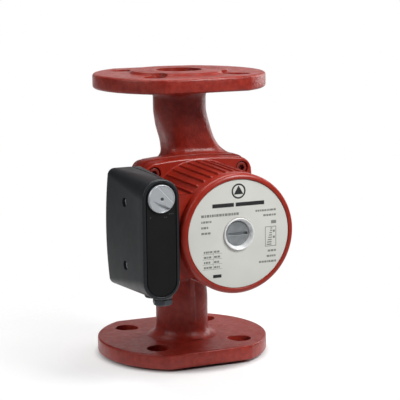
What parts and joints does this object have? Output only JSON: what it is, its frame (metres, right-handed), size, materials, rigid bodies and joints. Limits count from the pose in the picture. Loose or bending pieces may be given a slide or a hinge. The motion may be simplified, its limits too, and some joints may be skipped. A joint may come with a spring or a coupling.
{
  "type": "circulator pump",
  "caption": "Wet-rotor circulator with flanged in-line ports, ribbed canned motor and side terminal box with a speed knob",
  "frame": {"origin": "centre of the lower port's sealing face", "axes": "+Z along the pipe towards the upper port; the motor points along -Y and the terminal box is on its -X side"},
  "size_m": [0.1606, 0.187, 0.25],
  "materials": {
    "red_enamel_on_cast_iron": "satin brick-red enamel over sand-cast iron",
    "red_enamel_on_aluminium": "satin brick-red enamel over die-cast aluminium",
    "stainless_steel": "pressed and turned stainless steel",
    "ground_steel": "ground shaft steel",
    "composite_impeller": "glass-filled moulding, satin",
    "carbon": "lapped carbon",
    "cast_aluminium": "die-cast cage rings",
    "alumina_ceramic": "ground alumina",
    "black_rubber": "moulded EPDM, matt",
    "lamination_steel": "stacked electrical sheet",
    "enamelled_copper": "enamelled copper wire",
    "painted_screws": "steel screws painted over with the motor",
    "printed_plate": "satin foil plate with dark print",
    "bright_collar": "turned bright collar",
    "vent_screw_metal": "dull nickel-plated brass screw",
    "grey_box_plastic": "moulded dark grey box plastic",
    "black_box_plastic": "moulded black plastic, fine spark texture",
    "panel_film": "matt black panel",
    "dark_switch_plastic": "moulded switch body",
    "natural_nylon": "natural nylon",
    "silver_knob_plastic": "silver-grey moulding, satin",
    "white_capacitor_plastic": "moulded capacitor can",
    "ivory_terminal_plastic": "moulded terminal block",
    "brass": "turned brass",
    "zinc_plated_steel": "bright zinc plate",
    "grey_gland_plastic": "moulded blue-grey nylon",
    "dark_gland_plastic": "moulded dark grey nylon"
  },
  "bodies": {
    "housing": {"pump_housing": "red_enamel_on_cast_iron", "stator_housing": "red_enamel_on_aluminium", "neck_ring": "stainless_steel", "bearing_plate": "stainless_steel", "rotor_can": "stainless_steel", "capacitor_clip": "stainless_steel", "rear_bush": "alumina_ceramic", "front_bush": "alumina_ceramic", "bush_holder": "black_rubber", "can_seal": "black_rubber", "joint_gasket": "black_rubber", "stator_core": "lamination_steel", "stator_windings": "enamelled_copper", "motor_screws": "painted_screws", "name_plate": "printed_plate", "vent_collar": "bright_collar", "terminal_box_base": "grey_box_plastic", "base_screws": "zinc_plated_steel", "base_gasket": "black_rubber", "box_gasket": "black_rubber", "terminal_box_cover": "black_box_plastic", "cover_screws": "zinc_plated_steel", "front_panel": "panel_film", "speed_switch": "dark_switch_plastic", "capacitor": "white_capacitor_plastic", "terminal_block": "ivory_terminal_plastic", "terminal_screws": "brass", "earth_screw": "brass", "lead_grommet": "black_rubber", "gland_body": "grey_gland_plastic", "gland_seal": "black_rubber", "gland_nut": "grey_gland_plastic", "blanking_plug": "dark_gland_plastic"},
    "rotor": {"impeller": "composite_impeller", "impeller_nut": "stainless_steel", "shaft": "ground_steel", "thrust_ring": "carbon", "rotor_core": "stainless_steel", "rotor_end_rings": "cast_aluminium"},
    "speed_selector": {"speed_knob": "silver_knob_plastic", "switch_spindle": "natural_nylon"},
    "vent_slide": {"vent_seal": "black_rubber"},
    "vent_turn": {"vent_screw": "vent_screw_metal"}
  },
  "joints": [
    {"name": "rotor_spin", "type": "hinge", "parent": "housing", "child": "rotor", "pos_m": [0, 0, 0.126], "axis": [0, -1, 0], "continuous": true},
    {"name": "speed_select", "type": "hinge", "parent": "housing", "child": "speed_selector", "pos_m": [-0.0659, 0, 0.1593], "axis": [0, 1, 0], "range_deg": [0, 90]},
    {"name": "vent_advance", "type": "slide", "parent": "housing", "child": "vent_slide", "axis": [0, -1, 0], "range_m": [0, 0.006]},
    {"name": "vent_unscrew", "type": "hinge", "parent": "vent_slide", "child": "vent_turn", "pos_m": [0, 0, 0.126], "axis": [0, -1, 0], "range_deg": [0, 1440]}
  ],
  "couplings": [
    {"joint": "vent_unscrew", "follows": "vent_advance", "rad_per_m": 4188.8}
  ]
}
